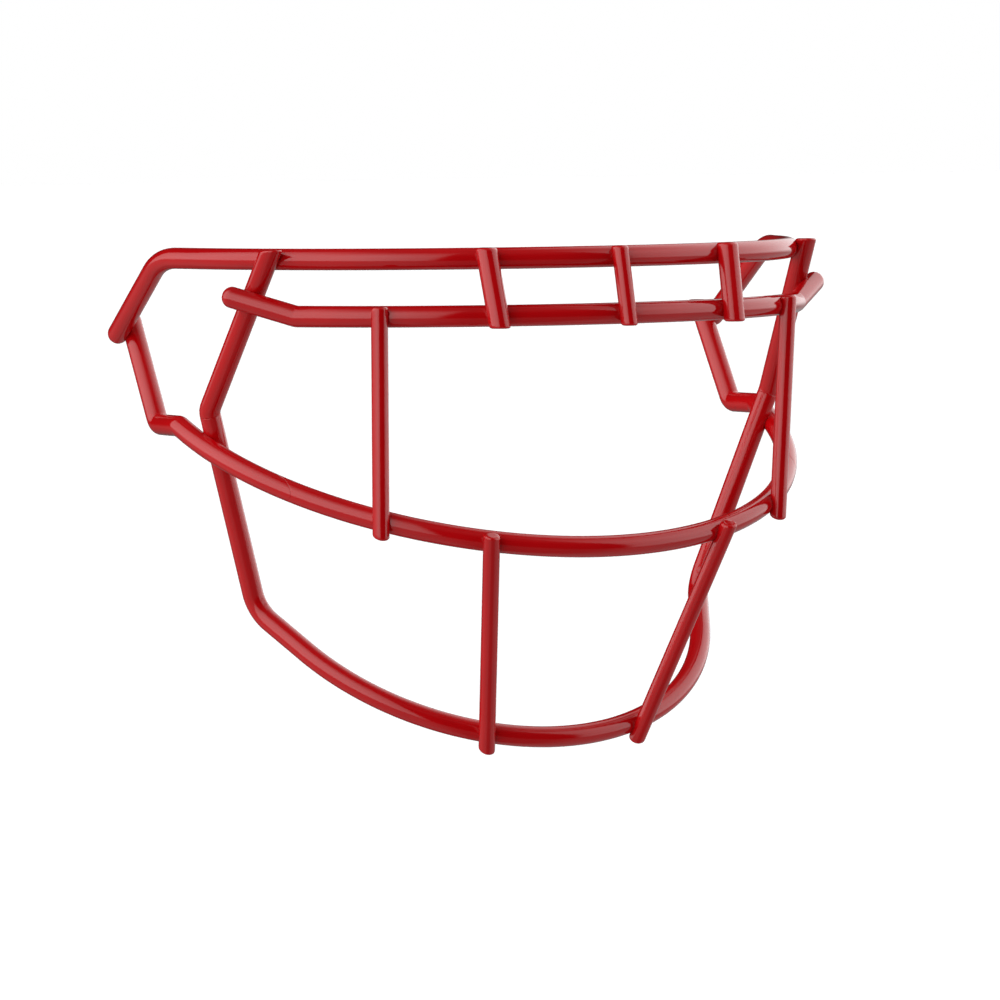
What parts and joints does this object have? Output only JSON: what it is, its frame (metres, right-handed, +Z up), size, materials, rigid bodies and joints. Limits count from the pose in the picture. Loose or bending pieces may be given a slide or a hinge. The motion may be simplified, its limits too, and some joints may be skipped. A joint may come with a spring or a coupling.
{
  "type": "batting helmet face guard",
  "caption": "Welded wire face guard for a batting helmet: bent bars round the brow, eyes, jaw and chin, tied by side posts and short front posts.",
  "frame": {"origin": "midway between the two ear joints, where the ends of the brow bar are welded to the ends of the jaw bar", "axes": "+X to the wearer's left, -Y to the front, +Z up; the brow bar lies level"},
  "size_m": [0.2168, 0.1404, 0.1522],
  "materials": {
    "coated_wire": "gloss",
    "weld_steel": "as welded"
  },
  "bodies": {
    "root": {"brow_bar": "coated_wire", "eye_bar": "coated_wire", "jaw_bar": "coated_wire", "chin_bar": "coated_wire", "side_post_left": "coated_wire", "side_post_right": "coated_wire", "jaw_end_left": "coated_wire", "jaw_end_right": "coated_wire", "brow_post_left": "coated_wire", "brow_post_centre": "coated_wire", "brow_post_right": "coated_wire", "cheek_post_left": "coated_wire", "cheek_post_right": "coated_wire", "chin_post_left": "coated_wire", "chin_post_right": "coated_wire", "brow_bar_welds": "weld_steel", "eye_bar_welds": "weld_steel", "jaw_bar_welds": "weld_steel", "chin_bar_welds": "weld_steel", "butt_welds": "weld_steel"}
  },
  "joints": []
}
